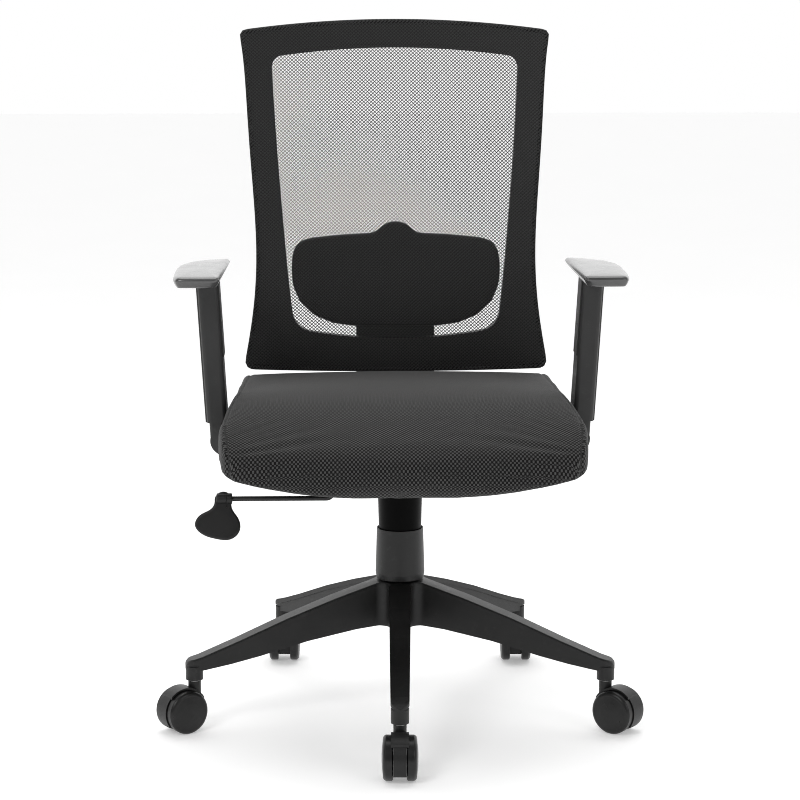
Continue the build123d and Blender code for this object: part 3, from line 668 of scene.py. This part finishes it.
def fuller(points):
    # the nose hangs a little lower, more so at its corners, and the front shoulders stand out
    x, y, z = points.T
    reach = np.abs(x)
    hang = ramp(-y, *fullLook["nose"]) * ramp(-z, *fullLook["below"])
    drop = cushionLook["hang"] + cushionLook["cornerHang"] * (reach / fullLook["corner"]) ** 2
    shoulder = ramp(-y, *fullLook["ahead"]) * ramp(reach, *fullLook["outer"]) * cushionLook["shoulder"]
    return np.stack([x + np.sign(x) * shoulder, y, z - hang * drop], 1)


seat = copyOf("seat_cushion", "seatCushion", finish["seatCloth"])
remeshed(seat, cushionLook)
inflated(seat, cushionLook, seatHeld)
divided(seat)
points, normals = coordinates(seat.data), vertexNormals(seat.data)
side = beyondSeam(points)
sewn = (points[:, 2] > boardLow.z - cushionLook["sewnDown"]) & (normals[:, 2] > cushionLook["sewnFacing"])
full = fuller(points)
# the seam is a bell-shaped groove with a bell-shaped ridge beside it
groove = cushionLook["seamDepth"] * np.exp(-(side / cushionLook["seamWide"]) ** 2)
ridge = cushionLook["welt"] * np.exp(-((side - cushionLook["weltReach"]) / cushionLook["seamWide"]) ** 2)
setCoordinates(seat.data, full + normals * ((ridge - groove) * sewn)[:, None])
flank = side > cushionLook["flank"]
along = runAlong(points[:, 1:], clothLine)
# painted shade: the holes' painted shade stays full on the front of the seat and fades to a quarter over the top and
# rear, so the front reads shaded and the top lit
spread = 1.0 - cushionLook["holeShadeCut"] * ramp(points[:, 1], cushionLook["holeShadeCutFrom"], cushionLook["holeShadeCutTo"])
writeWeave(seat, np.where(flank, points[:, 1], points[:, 0]), np.where(flank, points[:, 2], along), spread)
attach(seat, "seat")
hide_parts("seat_cushion")
print("seat cushion:", len(seat.data.polygons), "faces")

# lumbar pad: a crowned shell behind the mesh, rounded all round, with a tab at its top edge
lumbarLook = {
    "rings": 9, "count": 220, "round": 0.0055, "crown": 0.0015, "back": 0.0046, "thick": 0.0118,
    "shares": (0.0, 0.35, 0.65, 0.88),
}
# right half of the outline, from the middle of the foot to the top of the tab: x, z
lumbarLine = np.array([
    (0.000, 0.5210), (0.060, 0.5218), (0.092, 0.5265), (0.120, 0.5385), (0.141, 0.5590), (0.151, 0.5830),
    (0.1530, 0.604), (0.1524, 0.622), (0.1495, 0.637), (0.1400, 0.6485), (0.1240, 0.6530), (0.0800, 0.6570),
    (0.0400, 0.6588), (0.0300, 0.6600), (0.0235, 0.6660), (0.0150, 0.6735), (0.000, 0.6760)])


def evenly(line, count):
    # the same line with count points spaced evenly along it
    step = np.linalg.norm(np.diff(line, axis=0), axis=1)
    run = np.concatenate([[0], np.cumsum(step)])
    at = np.linspace(0, run[-1], count)
    return np.stack([np.interp(at, run, line[:, 0]), np.interp(at, run, line[:, 1])], 1)


def softened(loop, times):
    # each point drawn halfway to the middle of its neighbours
    for _ in range(times):
        loop = (np.roll(loop, 1, 0) + 2 * loop + np.roll(loop, -1, 0)) / 4
    return loop


def smoothLoop(line, count, times):
    # a closed outline of count points with softened corners, its inward directions and its centre
    loop = softened(evenly(np.concatenate([line, line[:1]]), count + 1)[:-1], times)
    ahead = np.roll(loop, -1, 0) - np.roll(loop, 1, 0)
    inward = np.stack([-ahead[:, 1], ahead[:, 0]], 1) / np.linalg.norm(ahead, axis=1)[:, None]
    return loop, inward, loop.mean(0)


def padShell(half, look):
    # rings inset from the outline, front then back: a crowned front, a half round edge, a flat back
    loop, inward, centre = smoothLoop(np.concatenate([half, (half * [-1, 1])[-2:0:-1]]), look["count"], 2)
    edge = loop + inward * look["round"]
    rings, depths = [], []
    for share in look["shares"]:
        rings.append(centre + (edge - centre) * share)
        depths.append(-look["crown"] * (1 - share ** 2))
    for angle in np.linspace(-pi / 2, pi / 2, look["rings"]):
        rings.append(loop + inward * look["round"] * (1 - cos(angle)))
        depths.append((0.5 + 0.5 * sin(angle)) * look["thick"])
    for share in look["shares"][::-1]:
        rings.append(centre + (edge - centre) * share)
        depths.append(look["thick"])
    rings, depths = np.stack(rings), np.array(depths)[:, None] + look["back"]
    return onBack(rings[..., 0], rings[..., 1], depths), gridFaces(len(rings), look["count"], False, True)


lumbar = makePiece("lumbarPad", *padShell(lumbarLine, lumbarLook), finish["frameBlack"])
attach(lumbar, "lumbar")
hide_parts("lumbar_pad")
print("lumbar pad made")

# arm pads: a soft skin with a crowned top, a chamfered front and a lip along the inner edge
armLook = {
    "count": 160, "top": 0.6345, "bottom": 0.6192, "frontFrom": 0.080, "frontRun": 0.028, "slope": 0.0050,
    "edge": 0.004, "lipFrom": 0.262, "lipRun": 0.022, "lip": 0.0085, "lipTop": 0.0012,
}
finish["armSkin"] = mouldedPlastic("armSkin", {
    "dark": grey(64), "light": grey(72), "worn": grey(84), "wear": 0.25, "roughness": 0.2, "gloss": 0.75,
    "grain": 1100.0, "mottle": 30.0, "bump": 0.10})
# outline of the left pad, from the front inner corner round the outer side: x, y
padLine = np.array([
    (0.2470, -0.108), (0.2800, -0.1085), (0.3050, -0.107), (0.3095, -0.085), (0.3108, -0.045), (0.3110, 0.015),
    (0.3080, 0.050), (0.2950, 0.086), (0.2740, 0.108), (0.2480, 0.122), (0.2410, 0.119), (0.2390, 0.110),
    (0.2420, 0.020), (0.2450, -0.060), (0.2465, -0.100)])
# rings from the middle of the underside, over the edge, to the middle of the top: reach, inset, height share
padRings = [(0.0, 0.0, 0.16), (0.4, 0.0, 0.16), (0.75, 0.0, 0.12), (0.9, 0.002, 0.04), (1.0, 0.0050, 0.0),
            (1.0, 0.0036, 0.02), (1.0, 0.0018, 0.22), (1.0, 0.0004, 0.46), (1.0, 0.0, 0.60), (1.0, 0.0004, 0.72),
            (1.0, 0.0015, 0.84), (0.995, 0.0030, 0.92), (0.97, 0.0040, 0.96), (0.90, 0.0040, 0.99),
            (0.75, 0.0030, 1.02), (0.5, 0.002, 1.04), (0.25, 0.001, 1.05), (0.0, 0.0, 1.055)]


def armPadShape(side):
    # the rings stacked on the outline; side is 1 for the left pad and -1 for the right one
    loop, inward, centre = smoothLoop(padLine, armLook["count"], 3)
    tall = armLook["top"] - armLook["bottom"]
    rings = []
    for reach, inset, share in padRings:
        flat = centre + (loop - centre) * reach + inward * inset * (reach > 0)
        rings.append(np.column_stack([flat, np.full(len(flat), armLook["bottom"] + tall * share)]))
    points = np.stack(rings)
    # the front end slopes back under itself and the inner edge lifts into a lip
    front = np.clip((-armLook["frontFrom"] - points[..., 1]) / armLook["frontRun"], 0, 1)
    under = np.clip((armLook["top"] - armLook["edge"] - points[..., 2]) / tall, 0, 1)
    points[..., 1] += front * under * armLook["slope"]
    inner = np.clip((armLook["lipFrom"] - points[..., 0]) / armLook["lipRun"], 0, 1)
    points[..., 2] += inner ** 2 * under * armLook["lip"] + inner ** 3 * armLook["lipTop"]
    points[..., 0] *= side
    return points, gridFaces(len(points), len(loop), False, True)


for name, side in (("left", 1), ("right", -1)):
    pad = makePiece("armPad" + name.capitalize(), *armPadShape(side), finish["armSkin"])
    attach(pad, "arm_" + name)
    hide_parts("arm_pad_" + name)
print("arm pads made")

# camera, light and floor
cameraLook = {"turn": -1.7, "distance": 3.541, "height": 1.0614, "down": 9.832, "lens": 115.56}
camera = bpy.data.objects.new("camera", bpy.data.cameras.new("camera"))
scene.collection.objects.link(camera)
turn = radians(cameraLook["turn"])
camera.location = (cameraLook["distance"] * sin(turn), -cameraLook["distance"] * cos(turn), cameraLook["height"])
camera.rotation_euler = (radians(90 - cameraLook["down"]), 0, turn)
camera.data.lens = cameraLook["lens"]
camera.data.sensor_width = 36.0
scene.camera = camera

# each lamp's place, power and width
lamps = {
    "keyLight": ((-1.6, -2.4, 2.3), 30.0, 1.4), "fillLight": ((2.0, -2.2, 1.5), 12.0, 1.4),
    "topLight": ((0.0, 0.6, 2.9), 26.0, 2.2),
}
lampAim = Vector((0, 0, 0.5))


def softLight(name, place, power, size):
    # a round area light turned to the chair
    light = bpy.data.lights.new(name, "AREA")
    light.shape, light.size, light.energy = "DISK", size, power
    lamp = bpy.data.objects.new(name, light)
    scene.collection.objects.link(lamp)
    lamp.location = place
    lamp.rotation_euler = (lampAim - Vector(place)).to_track_quat("-Z", "Y").to_euler()


for name, settings in lamps.items():
    softLight(name, *settings)
print("lamps set:", len(lamps))

# the room: a white backdrop behind the chair, dimmer towards the viewer, and plain white where the camera sees it
roomLook = {"From Min": -0.15, "From Max": 0.75, "To Min": 0.30, "To Max": 1.45}
world = bpy.data.worlds.new("studio")
scene.world = world
world.use_nodes = True
room = world.node_tree
direction = room.nodes.new("ShaderNodeTexCoord")
axes = room.nodes.new("ShaderNodeSeparateXYZ")
fade = room.nodes.new("ShaderNodeMapRange")
fade.interpolation_type = "SMOOTHSTEP"
seen = room.nodes.new("ShaderNodeLightPath")
level = room.nodes.new("ShaderNodeMix")
level.inputs["B"].default_value = 1.0
for name, value in roomLook.items():
    fade.inputs[name].default_value = value
for start, end in ((direction.outputs["Generated"], axes.inputs[0]), (axes.outputs["Y"], fade.inputs["Value"]),
                   (fade.outputs[0], level.inputs["A"]), (seen.outputs["Is Camera Ray"], level.inputs["Factor"]),
                   (level.outputs[0], room.nodes["Background"].inputs["Strength"])):
    room.links.new(start, end)
room.nodes["Background"].inputs["Color"].default_value = (1, 1, 1, 1)
scene.view_settings.view_transform = "Standard"
scene.cycles.filter_width = 1.0

floorLook = {"half": 14.0, "dark": grey(250), "light": grey(254), "cloud": 3.0, "glow": 0.3}


def paleFloor(name, look):
    # nearly white, faintly clouded, with a glow that lifts it to the backdrop
    shade = Shade(name, Specular_IOR_Level=0.1, Emission_Strength=look["glow"])
    cloud = shade.noise(look["cloud"], 2.0, 0.5)
    pale = shade.colour(cloud, look["dark"], look["light"])
    return shade.put(Base_Color=pale, Emission_Color=pale, Roughness=0.8 + cloud * 0.1).material


floorCorners = np.array([(-1, -1, 0), (1, -1, 0), (1, 1, 0), (-1, 1, 0)]) * floorLook["half"]
floor = makePiece("floor", floorCorners, [[0, 1, 2, 3]], paleFloor("paleFloor", floorLook), mend=False)
print("floor laid")
